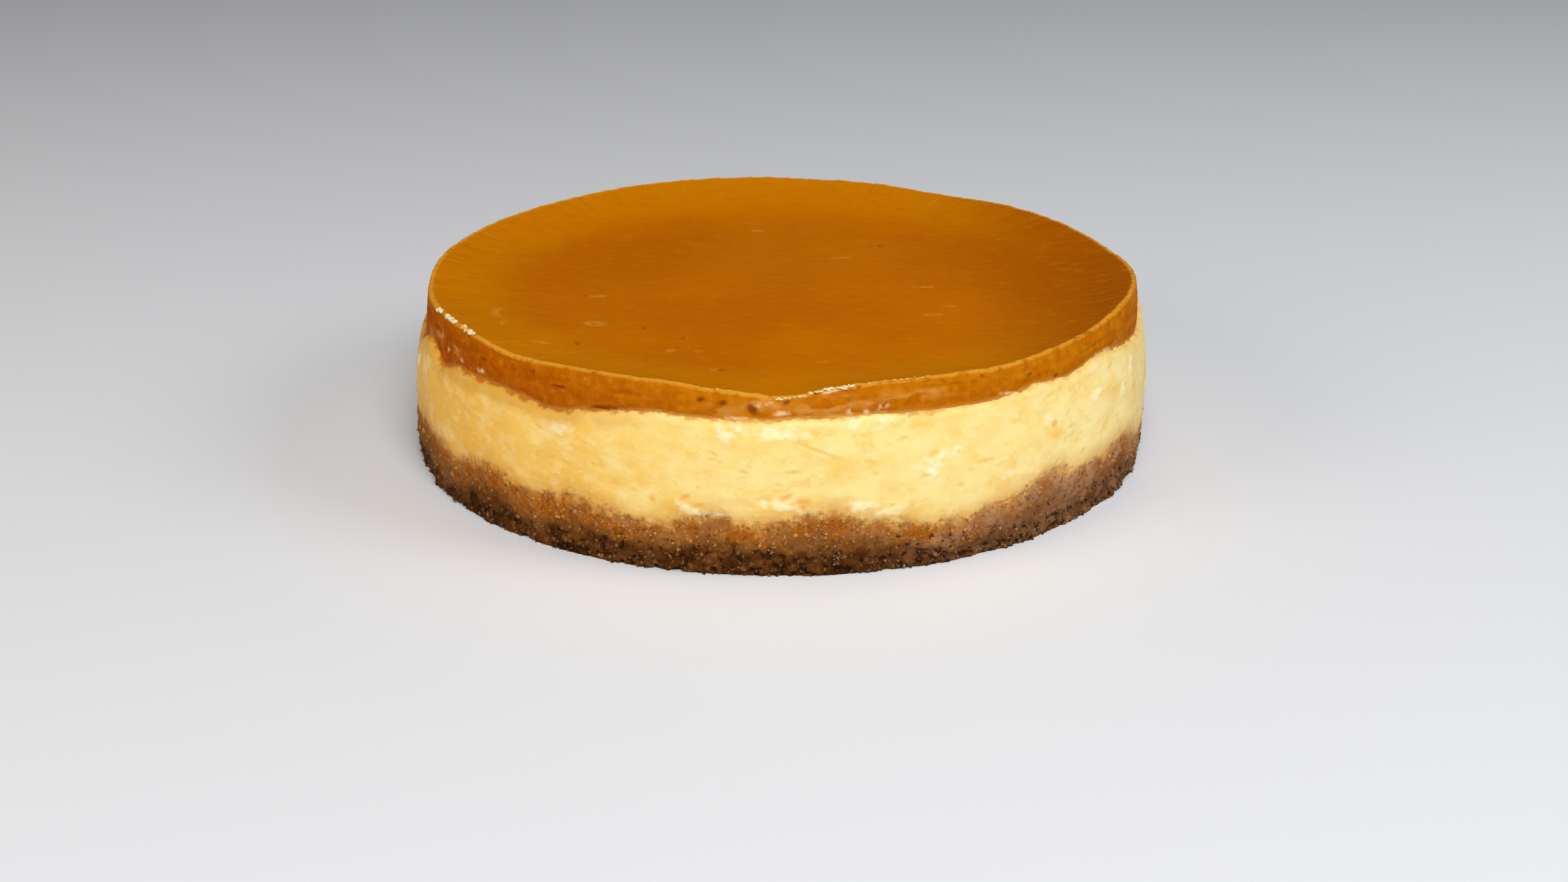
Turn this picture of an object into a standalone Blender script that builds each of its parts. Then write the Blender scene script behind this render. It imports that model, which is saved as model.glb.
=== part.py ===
"""Whole baked cheesecake out of its springform tin: crumb base, cheese layer and a dished pumpkin layer on top.

Run it with blender --background --python part.py, or from the Text Editor. Units are metres, +Z is up.
Angles are in degrees round the cake: 0 is the front, on -Y, and 90 is the right side, on +X.
"""

import math

import bmesh
import bpy
from mathutils import Vector, noise

MM = 0.001

# Driving dimensions
CAKE_RADIUS = 113.0 * MM
BASE_HEIGHT = 15.8 * MM
CHEESE_TOP_HEIGHT = 44.9 * MM
RIM_HEIGHT = 54.0 * MM
DISH_HEIGHT = 48.3 * MM
DISH_SLOPE_WIDTH = 48.0 * MM
DISH_CURVE = 2.3
LAYER_GAP = 0.3 * MM

# How far each wall stands in from the cake's radius, as the cake has drawn in towards its rim
BASE_FOOT_INSET = 1.0 * MM
BASE_SEAM_INSET = 0.9 * MM
CHEESE_SHOULDER_INSET = 1.5 * MM
PUMPKIN_FOOT_INSET = 2.2 * MM
PUMPKIN_SIDE_INSET = 0.8 * MM
PUMPKIN_SEAM_DEPTH = 0.4 * MM
RIM_INSET = 3.9 * MM
RIM_ROUNDING = 0.7 * MM

# How far the wall bulges out, and the height where it is widest. It is back to the radius at twice that height.
WALL_BULGE = 1.1 * MM
BULGE_HEIGHT = 21.0 * MM

# How far the cake has slumped to the right at its rim
LEAN = 0.6 * MM

# Where, as a share of each wall's height, the base's foot ends and the cheese's shoulder starts
FOOT_END = 0.2
SHOULDER_START = 0.5

# Heights of each wall's rows of points, as shares of its height, and how far the dish's rows lie inside the rim
BASE_ROWS = (0.07, 0.2, 0.34, 0.49, 0.64, 0.79, 0.94)
CHEESE_ROWS = (0.04, 0.18, 0.35, 0.53, 0.72, 0.88, 0.97)
PUMPKIN_ROWS = (0.08, 0.4, 0.7, 1)
DISH_ROWS = (0.7 * MM, 2.4 * MM, 6 * MM, 12 * MM, 20 * MM, 31 * MM)
SHARP_ANGLE = 35

# Depth of the relief that shows on each wall
CRUMB_RELIEF = 1.0 * MM
CRUMBLED_EDGE = 0.7 * MM
TORN_EDGE = 0.4 * MM
CHEESE_RELIEF = 0.35 * MM
PUMPKIN_RELIEF = 0.2 * MM
OUT_OF_ROUND = 0.4 * MM
OVAL_SHARE = 0.6
OVAL_TURN = 0.8
THREE_SIDED_SHARE = 0.4
THREE_SIDED_TURN = 2.1

# Sizes of that relief, as the length of one bump
CRUMB_LENGTH = 6.5 * MM
CRUMBLED_EDGE_LENGTH = 4.5 * MM
SCRAPE_LENGTH = 11.0 * MM
TEAR_LENGTH = 7.0 * MM

# Where each edge rises (+) or sags (-): angle, half-width in degrees, height
RIM_SWELLS = (
    (0, 7, -3.4 * MM),
    (-10, 4, -0.9 * MM),
    (-43, 9, -1.6 * MM),
    (-80, 12, -1.7 * MM),
    (-163, 34, 1.9 * MM),
    (148, 10, -0.9 * MM),
    (106, 14, -1.3 * MM),
    (70, 17, 2.4 * MM),
    (35, 6, -0.9 * MM),
)
CHEESE_SWELLS = (
    (-85, 8, -6.5 * MM),
    (-70, 4, 2.6 * MM),
    (-63, 3.4, -3.2 * MM),
    (-35, 5, -2.7 * MM),
    (-20, 8, 1.8 * MM),
    (25, 10, -1.6 * MM),
    (47, 5, -2.6 * MM),
    (77, 17, -6.3 * MM),
    (140, 20, -1.5 * MM),
    (-130, 18, 1.3 * MM),
)
BASE_SWELLS = (
    (-68, 7, 2.8 * MM),
    (-56, 2.5, -1.8 * MM),
    (-47, 6, 2.8 * MM),
    (-38, 3, -1.2 * MM),
    (-30, 4, 1.9 * MM),
    (-19, 6, -2.5 * MM),
    (-10, 3.5, 2.2 * MM),
    (-3, 3, -1.3 * MM),
    (6, 5, 2.6 * MM),
    (24, 9.5, -4.0 * MM),
    (42, 4, 4.2 * MM),
    (60, 6, 2.8 * MM),
    (74, 6, -4.2 * MM),
    (115, 9, 1.6 * MM),
    (160, 7, -1.8 * MM),
    (-150, 8, 2.0 * MM),
    (-110, 7, -1.7 * MM),
)
CHEESE_TILT = 3.4 * MM

# Cheese crumbs stuck on the rim, at the left of the front: angle and length of each
RIM_CRUMB_RADIUS = 0.9 * MM
RIM_CRUMB_UNEVENNESS = 0.25
RIM_CRUMB_INSET = 0.4 * MM
RIM_CRUMB_SUNK = 0.1 * MM
RIM_CRUMBS = (
    (-70.0, 1.0),
    (-68.4, 1.2),
    (-66.9, 1.4),
    (-65.7, 1.1),
    (-62.6, 1.7),
    (-61.0, 1.9),
    (-59.6, 1.4),
    (-56.5, 1.6),
    (-55.1, 1.9),
    (-53.8, 1.2),
)

SEGMENTS = 180
FLAT_CENTRE = CAKE_RADIUS - 18 * MM


def clear_scene():
    for obj in list(bpy.data.objects):
        bpy.data.objects.remove(obj)


def material(name, colour, roughness):
    made = bpy.data.materials.new(name)
    made.use_nodes = True
    surface = made.node_tree.nodes["Principled BSDF"]
    surface.inputs["Base Color"].default_value = (*colour, 1)
    surface.inputs["Roughness"].default_value = roughness
    surface.inputs["Metallic"].default_value = 0
    return made


def place(angle, radius, height):
    turn = math.radians(angle)
    return Vector((radius * math.sin(turn), -radius * math.cos(turn), height))


def blend(share):
    """A smooth step from 0 to 1."""
    share = max(0.0, min(1.0, share))
    return share * share * (3 - 2 * share)


def swell(angle, features):
    """The sum of smooth rises and sags round the cake."""
    total = 0.0
    for centre, half_width, height in features:
        apart = (angle - centre + 180) % 360 - 180
        total += height * math.exp(-((apart / half_width) ** 2))
    return total


def ragged(angle, bump_length, layer):
    """Uneven run of an edge, between about -1 and 1, that closes on itself."""
    point = place(angle, CAKE_RADIUS / bump_length, layer)
    return noise.noise(point)


def relief(angle, height, bump_length, layer):
    """Bumps over a wall, between about -1 and 1."""
    point = place(angle, CAKE_RADIUS, height) / bump_length
    point.z += layer
    return noise.noise(point)


def cake_outline(angle):
    """Radius of the cake, a little out of round."""
    turn = math.radians(angle)
    oval = OVAL_SHARE * math.cos(2 * turn + OVAL_TURN)
    three_sided = THREE_SIDED_SHARE * math.cos(3 * turn + THREE_SIDED_TURN)
    return CAKE_RADIUS + OUT_OF_ROUND * (oval + three_sided)


def wall_radius(angle, height):
    """Radius of the wall, which bulges a little and leans to the right."""
    bulge = WALL_BULGE * max(0.0, 1 - (height / BULGE_HEIGHT - 1) ** 2)
    return cake_outline(angle) + bulge + LEAN * math.sin(math.radians(angle)) * height / RIM_HEIGHT


def base_seam(angle):
    return wall_radius(angle, BASE_HEIGHT) - BASE_SEAM_INSET


def pumpkin_foot(angle):
    """Radius of the pumpkin layer's foot, which leaves a wider step at the two sides than at the front."""
    outermost = wall_radius(angle, 2 * BULGE_HEIGHT)
    return outermost - PUMPKIN_FOOT_INSET - PUMPKIN_SIDE_INSET * math.sin(math.radians(angle)) ** 2


def pumpkin_seam(angle):
    return pumpkin_foot(angle) - PUMPKIN_SEAM_DEPTH


def fade_in(radius):
    """Share of an edge's unevenness that reaches this far into the cake."""
    return blend((radius - FLAT_CENTRE) / (CAKE_RADIUS - FLAT_CENTRE))


def base_top(angle, radius):
    uneven = swell(angle, BASE_SWELLS) + CRUMBLED_EDGE * ragged(angle, CRUMBLED_EDGE_LENGTH, 3)
    return BASE_HEIGHT + uneven * fade_in(radius)


def cheese_top(angle, radius):
    slope = CHEESE_TILT * math.sin(math.radians(angle)) * radius / CAKE_RADIUS
    uneven = swell(angle, CHEESE_SWELLS) + TORN_EDGE * ragged(angle, TEAR_LENGTH, 7)
    return CHEESE_TOP_HEIGHT + slope + uneven * fade_in(radius)


def rim_top(angle):
    return RIM_HEIGHT + swell(angle, RIM_SWELLS) + TORN_EDGE / 2 * ragged(angle, TEAR_LENGTH, 11)


def rim_radius(angle):
    return wall_radius(angle, RIM_HEIGHT) - RIM_INSET


def dish_height(angle, radius):
    """Top of the pumpkin layer, which sinks from its rim to a flat middle."""
    inwards = max(0.0, min(1.0, (rim_radius(angle) - radius) / DISH_SLOPE_WIDTH))
    return DISH_HEIGHT + (rim_top(angle) - DISH_HEIGHT) * (1 - inwards) ** DISH_CURVE


def angles():
    return [360 * step / SEGMENTS for step in range(SEGMENTS)]


def ring(mesh, radius_at, height_at):
    """One closed row of points round the cake; height_at takes the angle and the point's radius."""
    row = []
    for angle in angles():
        radius = radius_at(angle)
        row.append(mesh.verts.new(place(angle, radius, height_at(angle, radius))))
    return row


def band(mesh, outer, inner):
    """Triangles between two rows. Every band has the same diagonal, so that layers that meet fit each other."""
    for step in range(SEGMENTS):
        after = (step + 1) % SEGMENTS
        mesh.faces.new((outer[step], outer[after], inner[after]))
        mesh.faces.new((outer[step], inner[after], inner[step]))


def finish(name, mesh, underside, wall, top, surface):
    """Makes a layer from its rows. Those of its underside and top run inwards from the wall to a flat middle."""
    for face in (underside, top):
        for outer, inner in zip(face, face[1:]):
            band(mesh, outer, inner)
        mesh.faces.new(face[-1])
    for lower, upper in zip([underside[0]] + wall, wall + [top[0]]):
        band(mesh, lower, upper)
    bmesh.ops.recalc_face_normals(mesh, faces=mesh.faces)
    data = bpy.data.meshes.new(name)
    mesh.to_mesh(data)
    mesh.free()
    data.materials.append(surface)
    data.shade_smooth()
    data.set_sharp_from_angle(angle=math.radians(SHARP_ANGLE))
    obj = bpy.data.objects.new(name, data)
    bpy.context.scene.collection.objects.link(obj)
    return obj


def meeting_rows(mesh, seam_at, height_at):
    """The face where two layers meet, from the seam that both walls start from in to its flat middle."""
    return [
        ring(mesh, seam_at, height_at),
        ring(mesh, lambda angle: FLAT_CENTRE, height_at),
    ]


def biscuit_base():
    """Pressed biscuit crumbs, rough all round, with a narrow foot where the bottom edge has crumbled."""
    mesh = bmesh.new()

    def wall_row(share):
        def radius_at(angle):
            height = share * base_top(angle, CAKE_RADIUS)
            foot = BASE_FOOT_INSET * (1 - blend(share / FOOT_END))
            crumbs = relief(angle, height, CRUMB_LENGTH, 0) + 0.6 * relief(angle, height, CRUMB_LENGTH / 2, 5)
            return wall_radius(angle, height) - foot + CRUMB_RELIEF * crumbs

        return ring(mesh, radius_at, lambda angle, radius: share * base_top(angle, CAKE_RADIUS))

    underside = [wall_row(0)]
    wall = [wall_row(share) for share in BASE_ROWS]
    top = meeting_rows(mesh, base_seam, base_top)
    crumbs = material("biscuit_crumb", (0.19, 0.085, 0.035), 0.75)
    return finish("biscuit_base", mesh, underside, wall, top, crumbs)


def cheese_layer():
    """Baked cheese filling: a smooth wall with faint scrapes, rounded in to a shoulder under the pumpkin layer."""
    mesh = bmesh.new()

    def base_side(angle, radius):
        return base_top(angle, radius) + LAYER_GAP

    def wall_row(share):
        def height_at(angle, radius):
            low = base_side(angle, CAKE_RADIUS)
            return low + share * (cheese_top(angle, CAKE_RADIUS) - low)

        def radius_at(angle):
            height = height_at(angle, CAKE_RADIUS)
            shoulder = CHEESE_SHOULDER_INSET * blend((share - SHOULDER_START) / (1 - SHOULDER_START))
            scrapes = relief(angle, height, SCRAPE_LENGTH, 20) + 0.5 * relief(angle, height, SCRAPE_LENGTH / 3, 25)
            return wall_radius(angle, height) - shoulder + CHEESE_RELIEF * scrapes

        return ring(mesh, radius_at, height_at)

    underside = meeting_rows(mesh, base_seam, base_side)
    wall = [wall_row(share) for share in CHEESE_ROWS]
    top = meeting_rows(mesh, pumpkin_seam, cheese_top)
    cheese = material("baked_cheese", (0.83, 0.60, 0.25), 0.5)
    return finish("cheese_layer", mesh, underside, wall, top, cheese)


def pumpkin_disc():
    """The pumpkin layer without its crumbs: a leaning wall up to a thin rim, and a shallow dish inside it."""
    mesh = bmesh.new()

    def cheese_side(angle, radius):
        return cheese_top(angle, radius) + LAYER_GAP

    def wall_row(share):
        def height_at(angle, radius):
            low = cheese_side(angle, CAKE_RADIUS)
            return low + share * (rim_top(angle) - RIM_ROUNDING - low)

        def radius_at(angle):
            lean = share * share * (pumpkin_foot(angle) - rim_radius(angle))
            tears = relief(angle, height_at(angle, CAKE_RADIUS), TEAR_LENGTH, 40)
            return pumpkin_foot(angle) - lean + PUMPKIN_RELIEF * tears

        return ring(mesh, radius_at, height_at)

    def dish_row(inwards):
        return ring(mesh, lambda angle: rim_radius(angle) - inwards, dish_height)

    underside = meeting_rows(mesh, pumpkin_seam, cheese_side)
    wall = [wall_row(share) for share in PUMPKIN_ROWS]
    dish = [dish_row(inwards) for inwards in DISH_ROWS]
    middle_radius = CAKE_RADIUS - RIM_INSET - DISH_SLOPE_WIDTH - OUT_OF_ROUND
    middle = ring(mesh, lambda angle: middle_radius, dish_height)
    pumpkin = material("baked_pumpkin", (0.45, 0.13, 0.005), 0.4)
    return finish("pumpkin_layer", mesh, underside, wall, dish + [middle], pumpkin)


def rim_crumb(angle, length, number):
    """One lump of cheese pressed on to the rim, longer along it than across."""
    bpy.ops.mesh.primitive_ico_sphere_add(subdivisions=1, radius=RIM_CRUMB_RADIUS)
    lump = bpy.context.object
    lump.data.transform(lump.matrix_world)
    for vertex in lump.data.vertices:
        vertex.co *= 1 + RIM_CRUMB_UNEVENNESS * noise.noise(vertex.co / RIM_CRUMB_RADIUS + Vector((number, 0, 0)))
        vertex.co.x *= length
    lump.location = place(angle, rim_radius(angle) - RIM_CRUMB_INSET, rim_top(angle) - RIM_CRUMB_SUNK)
    lump.rotation_euler = (0, 0, math.radians(angle))
    return lump


def pumpkin_layer():
    """The pumpkin layer with the cheese crumbs that stick to its rim fused on."""
    disc = pumpkin_disc()
    crumbs = bpy.data.collections.new("rim_crumbs")
    for number, (angle, length) in enumerate(RIM_CRUMBS):
        lump = rim_crumb(angle, length, number)
        for home in list(lump.users_collection):
            home.objects.unlink(lump)
        crumbs.objects.link(lump)
    bpy.context.scene.collection.children.link(crumbs)
    union = disc.modifiers.new("rim_crumbs", "BOOLEAN")
    union.operation = "UNION"
    union.solver = "EXACT"
    union.operand_type = "COLLECTION"
    union.collection = crumbs
    bpy.context.view_layer.objects.active = disc
    bpy.ops.object.modifier_apply(modifier=union.name)
    for lump in list(crumbs.objects):
        bpy.data.objects.remove(lump)
    bpy.data.collections.remove(crumbs)
    return disc


def centre_on_origin(layers):
    """Moves the cake so that the middle of its bounding box stands on the origin."""
    points = [vertex.co for layer in layers for vertex in layer.data.vertices]
    middle_x = (min(p.x for p in points) + max(p.x for p in points)) / 2
    middle_y = (min(p.y for p in points) + max(p.y for p in points)) / 2
    for layer in layers:
        for vertex in layer.data.vertices:
            vertex.co.x -= middle_x
            vertex.co.y -= middle_y


def main():
    clear_scene()
    centre_on_origin([biscuit_base(), cheese_layer(), pumpkin_layer()])


main()
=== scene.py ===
import math
import random

import bmesh
import bpy
import numpy as np
from mathutils import Euler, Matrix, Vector, noise
from mathutils.bvhtree import BVHTree


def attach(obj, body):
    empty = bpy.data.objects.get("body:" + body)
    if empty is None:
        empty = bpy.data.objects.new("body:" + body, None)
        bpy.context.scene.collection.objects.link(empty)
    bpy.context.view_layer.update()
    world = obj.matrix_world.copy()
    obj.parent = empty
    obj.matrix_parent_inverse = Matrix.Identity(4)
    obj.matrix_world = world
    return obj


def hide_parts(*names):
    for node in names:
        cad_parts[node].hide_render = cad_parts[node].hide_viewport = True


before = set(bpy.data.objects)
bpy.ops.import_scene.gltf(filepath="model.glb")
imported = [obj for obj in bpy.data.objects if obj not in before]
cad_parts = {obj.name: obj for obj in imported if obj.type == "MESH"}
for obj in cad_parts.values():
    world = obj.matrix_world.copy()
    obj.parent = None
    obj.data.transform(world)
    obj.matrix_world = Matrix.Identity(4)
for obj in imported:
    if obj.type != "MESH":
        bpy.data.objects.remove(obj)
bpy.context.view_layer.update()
bpy.ops.object.select_all(action="DESELECT")


# Biscuit crust
# The foot of the cake is crushed biscuit and butter, pressed into the tin and baked. It is one sleeve of
# small square faces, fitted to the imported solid's height and then pushed in and out, crumb by crumb.

MM = 0.001
CAKE_RADIUS = 113.0 * MM
CAKE_HEIGHT = 54.0 * MM
WALL_BULGE = 1.1 * MM
BULGE_HEIGHT = 21.0 * MM
LEAN = 0.6 * MM
COLUMNS = 1260
CRUST_WALL_ROWS = 34
CRUST_TUCK_ROWS = 5
CRUST_EDGE_INSET = 1.5 * MM
CRUST_PROUD = 0.45 * MM
CRUST_TUCK_RISE = 2.8 * MM
CRUST_TUCK_INSET = 2.2 * MM
CRUST_FOOT_INSET = 0.5 * MM
CRUST_FOOT_HEIGHT = 2.0 * MM
CRUST_LIP = 3.0 * MM
CRUST_BOTTOM_RINGS = np.array([0.5, 0.9])
COARSE_CRUMB = 2.6 * MM
FINE_CRUMB = 1.2 * MM
CRUST_LUMP = 12.0 * MM
CAVITY = 3.4 * MM
CAVITY_ZONE = 7.0 * MM
COARSE_CRUMB_DEPTH = 0.65 * MM
FINE_CRUMB_DEPTH = 0.4 * MM
CRUST_LUMP_DEPTH = 0.8 * MM
CAVITY_DEPTH = 0.9 * MM
SOAKED_DEPTH = 8.0 * MM
SOFTENED_COLUMNS = 9

column_angles = np.arange(COLUMNS) * 2 * math.pi / COLUMNS


def wall_radius(heights):
    """Radius of the cake's wall at a height in every column. It bulges a little, and leans to the right."""
    bulge = WALL_BULGE * np.clip(1 - (heights / BULGE_HEIGHT - 1) ** 2, 0, None)
    return CAKE_RADIUS + bulge + LEAN * np.sin(column_angles) * heights / CAKE_HEIGHT


def round_place(angle, radius, height):
    return Vector((radius * math.sin(angle), -radius * math.cos(angle), height))


def solid_height(node, radius):
    """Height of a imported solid's upper side at each column, on a circle of that radius."""
    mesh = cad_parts[node].data
    tree = BVHTree.FromPolygons([v.co for v in mesh.vertices], [p.vertices for p in mesh.polygons])
    heights = []
    for angle in column_angles:
        heights.append(tree.ray_cast(round_place(angle, radius, 1), Vector((0, 0, -1)))[0].z)
    return soften(np.array(heights), SOFTENED_COLUMNS)


def soften(values, width):
    """Rounds off the corners of a run of heights that closes on itself."""
    weights = np.hanning(width + 2)[1:-1]
    run = np.concatenate((values[-width:], values, values[:width]))
    return np.convolve(run, weights / weights.sum(), "same")[width:-width]


def sleeve(name, rings):
    """A closed sleeve of square faces. Each ring of points stands at the height of its number, from 0."""
    bpy.ops.mesh.primitive_circle_add(vertices=COLUMNS, radius=1)
    piece = bpy.context.object
    piece.name = piece.data.name = name
    bpy.ops.object.mode_set(mode="EDIT")
    bpy.ops.mesh.select_all(action="SELECT")
    for _ in range(rings):
        bpy.ops.mesh.extrude_region_move(TRANSFORM_OT_translate={"value": (0, 0, 1)})
    bpy.ops.mesh.merge(type="CENTER")
    mesh = bmesh.from_edit_mesh(piece.data)
    for vertex in mesh.verts:
        vertex.select_set(abs(vertex.co.z) < 0.5)
    mesh.select_flush(True)
    bmesh.update_edit_mesh(piece.data)
    bpy.ops.mesh.extrude_region_move(TRANSFORM_OT_translate={"value": (0, 0, -1)})
    bpy.ops.mesh.merge(type="CENTER")
    bpy.ops.mesh.select_all(action="SELECT")
    bpy.ops.mesh.normals_make_consistent(inside=False)
    bpy.ops.object.mode_set(mode="OBJECT")
    bpy.ops.object.shade_smooth()
    return piece


def lay_rings(piece, radii, heights, **marks):
    """Moves a sleeve's rings to their radii and heights. Each mark keeps a value in mm at every point."""
    count = len(piece.data.vertices)
    points = np.empty(count * 3)
    piece.data.vertices.foreach_get("co", points)
    points = points.reshape(-1, 3)
    angle = np.arctan2(points[:, 0], -points[:, 1])
    column = np.rint(angle / (2 * math.pi) * COLUMNS).astype(int) % COLUMNS
    ring = np.rint(points[:, 2]).astype(int)
    inside = np.clip(ring, 0, len(radii) - 1)
    pole = ring != inside
    radius = np.where(pole, 0, radii[inside, column])
    height = heights[inside, column]
    for end in (0, len(radii) - 1):
        height[pole & (inside == end)] = heights[end].mean()
    placed = np.stack((radius * np.sin(angle), -radius * np.cos(angle), height), 1)
    piece.data.vertices.foreach_set("co", placed.ravel())
    for mark, values in marks.items():
        layer = piece.data.attributes.new(mark, "FLOAT", "POINT")
        layer.data.foreach_set("value", (values[inside, column] / MM).astype(np.float32))
    piece.data.update()


def on_wall(radii, heights):
    """Points of every ring and column, as a list to measure noise at."""
    x = radii * np.sin(column_angles)
    y = -radii * np.cos(column_angles)
    return [Vector(p) for p in np.stack((x, y, heights), -1).reshape(-1, 3)]


def bumps(points, shape, length, layer=0):
    """Smooth bumps of about that length, from -1 to 1."""
    shift = Vector((0, 0, layer * 10.0))
    return np.array([noise.noise(p / length + shift) for p in points]).reshape(shape)


def crumbs(points, shape, length, layer=0):
    """Lumps of about that length with creases between them, from 0 in a crease to 1 on the tallest lump."""
    shift = Vector((0, 0, layer * 10.0))
    values = []
    for p in points:
        distances, centres = noise.voronoi(p / length + shift)
        crease = min(1.0, (distances[1] - distances[0]) / 0.45)
        values.append(crease ** 0.6 * (0.35 + 0.65 * noise.cell(centres[0] * 7.3)))
    return np.array(values).reshape(shape)


crust_crest = solid_height("biscuit_base", CAKE_RADIUS - CRUST_EDGE_INSET)
share = np.linspace(0, 1, CRUST_WALL_ROWS)[:, None]
tuck = np.linspace(0, 1, CRUST_TUCK_ROWS + 1)[1:, None]
wall_heights = np.concatenate((share * crust_crest, crust_crest + tuck * CRUST_TUCK_RISE))
tucked = np.clip((wall_heights - crust_crest) / CRUST_TUCK_RISE, 0, 1)
foot = np.clip(1 - wall_heights / CRUST_FOOT_HEIGHT, 0, 1) ** 2
proud = CRUST_PROUD * np.clip(1 - (wall_heights / crust_crest) ** 3, 0, 1)
wall_radii = wall_radius(wall_heights) + proud - CRUST_FOOT_INSET * foot - CRUST_TUCK_INSET * tucked ** 1.5
points = on_wall(wall_radii, wall_heights)
shape = wall_radii.shape
coarse = crumbs(points, shape, COARSE_CRUMB)
fine = crumbs(points, shape, FINE_CRUMB, 1)
lumps = bumps(points, shape, CRUST_LUMP, 2)
patchy = bumps(points, shape, COARSE_CRUMB * 2, 3)
low = np.clip(1.2 - wall_heights / CAVITY_ZONE, 0, 1)
torn_holes = bumps(points, shape, CAVITY, 13) + 0.6 * bumps(points, shape, CAVITY / 3, 23)
cavities = np.clip(torn_holes * 3.4 + 2.1 * low - 2.6, 0, 1)
soaked = np.clip(1 - (crust_crest - wall_heights) / SOAKED_DEPTH + 0.5 * patchy, 0, 1)
loose = 1 - 0.6 * soaked
relief = (
    (coarse - 0.7) * COARSE_CRUMB_DEPTH * loose
    + (fine - 0.6) * FINE_CRUMB_DEPTH * loose
    - cavities * CAVITY_DEPTH
)
wall_radii = wall_radii + relief + lumps * CRUST_LUMP_DEPTH * loose
bottom_radii = CRUST_BOTTOM_RINGS[:, None] * np.full(COLUMNS, CAKE_RADIUS)
crust_radii = np.concatenate((bottom_radii, wall_radii, wall_radii[-1:] - CRUST_LIP))
crust_heights = np.concatenate((np.zeros((2, COLUMNS)), wall_heights, wall_heights[-1:]))
crust_relief = np.concatenate((np.zeros((2, COLUMNS)), relief, relief[-1:]))
crust = sleeve("biscuit_crust", len(crust_radii))
lay_rings(
    crust, crust_radii, crust_heights,
    rise=crust_heights, depth=crust_crest - crust_heights, relief=crust_relief,
)


def add_node(tree, kind, inputs=None, **settings):
    """A new shader node. An input is a number or colour, or the socket that feeds it."""
    made = tree.nodes.new("ShaderNode" + kind)
    for name, value in settings.items():
        setattr(made, name, value)
    for name, value in (inputs or {}).items():
        if isinstance(value, bpy.types.NodeSocket):
            tree.links.new(value, made.inputs[name])
        else:
            made.inputs[name].default_value = value
    return made


def math_node(tree, operation, first, second=0.0):
    return add_node(tree, "Math", {0: first, 1: second}, operation=operation).outputs[0]


def times(tree, first, second):
    return math_node(tree, "MULTIPLY", first, second)


def wobbled(tree, value, pattern, reach):
    """A value moved up and down by a noise pattern, by half that reach either way."""
    return math_node(tree, "ADD", value, times(tree, math_node(tree, "SUBTRACT", pattern, 0.5), reach))


def ramp(tree, value, low, high):
    """0 below low and 1 above high. The other way round where low is the higher."""
    inputs = {"Value": value, "From Min": low, "From Max": high}
    if low > high:
        inputs.update({"From Min": high, "From Max": low, "To Min": 1.0, "To Max": 0.0})
    return add_node(tree, "MapRange", inputs, interpolation_type="SMOOTHSTEP").outputs[0]


def mix_colour(tree, share, first, second):
    """The first colour where the share is 0, and the second where it is 1."""
    colours = [c if isinstance(c, bpy.types.NodeSocket) else (*c, 1) for c in (first, second)]
    return add_node(tree, "Mix", {0: share, 6: colours[0], 7: colours[1]}, data_type="RGBA").outputs[2]


def tint(tree, colour, share, strength, other):
    """A colour with another one laid over it, by a share and at that strength."""
    return mix_colour(tree, times(tree, share, strength), colour, other)


def noise_at(tree, place, scale, detail=3.0, stretch=None):
    """Noise over the piece, in bumps per metre; stretch squeezes it along X, Y and Z."""
    if stretch:
        place = add_node(tree, "Mapping", {"Vector": place, "Scale": stretch}).outputs[0]
    return add_node(tree, "TexNoise", {"Vector": place, "Scale": scale, "Detail": detail}).outputs[0]


def mark_at(tree, mark):
    return add_node(tree, "Attribute", attribute_name=mark).outputs["Fac"]


def new_material(name, **sockets):
    """A material with constants on its shader's own sockets. Gives it, its tree and its shader."""
    material = bpy.data.materials.new(name)
    material.use_nodes = True
    tree = material.node_tree
    shader = tree.nodes["Principled BSDF"]
    for socket, value in sockets.items():
        shader.inputs[socket.replace("_", " ")].default_value = value
    return material, tree, shader


def object_place(tree):
    return add_node(tree, "TexCoord").outputs["Object"]


def feed(tree, value, shader, socket):
    tree.links.new(value, shader.inputs[socket])


def bump_feed(tree, height, shader, distance, strength=1.0):
    relief = add_node(tree, "Bump", {"Height": height, "Distance": distance, "Strength": strength})
    feed(tree, relief.outputs[0], shader, "Normal")


def open_group(name, inputs, outputs):
    """A new node group with its named sockets. Gives the group and its inner start and end sockets."""
    group = bpy.data.node_groups.new(name, "ShaderNodeTree")
    kinds = {"Place": "NodeSocketVector", "Centre": "NodeSocketVector", "Reach": "NodeSocketVector",
             "Colour": "NodeSocketColor"}
    for sockets, in_out in ((inputs, "INPUT"), (outputs, "OUTPUT")):
        for socket in sockets:
            kind = kinds.get(socket, "NodeSocketFloat")
            group.interface.new_socket(socket, in_out=in_out, socket_type=kind)
    return group, group.nodes.new("NodeGroupInput").outputs, group.nodes.new("NodeGroupOutput").inputs


def cells_at(tree, place, scale):
    """Ragged crumb-sized cells: a random value for each, and the distance from its middle."""
    stir = add_node(tree, "TexNoise", {"Vector": place, "Scale": scale * 1.4, "Detail": 2.0}).outputs["Color"]
    stir = add_node(tree, "VectorMath", {0: stir, 1: (0.5, 0.5, 0.5)}, operation="SUBTRACT").outputs[0]
    stir = add_node(tree, "VectorMath", {0: stir, "Scale": 1.6 / scale}, operation="SCALE").outputs[0]
    stirred = add_node(tree, "VectorMath", {0: place, 1: stir}, operation="ADD").outputs[0]
    cells = add_node(tree, "TexVoronoi", {"Vector": stirred, "Scale": scale})
    tones = add_node(tree, "SeparateColor", {"Color": cells.outputs["Color"]}).outputs
    return tones[0], cells.outputs["Distance"]


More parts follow.
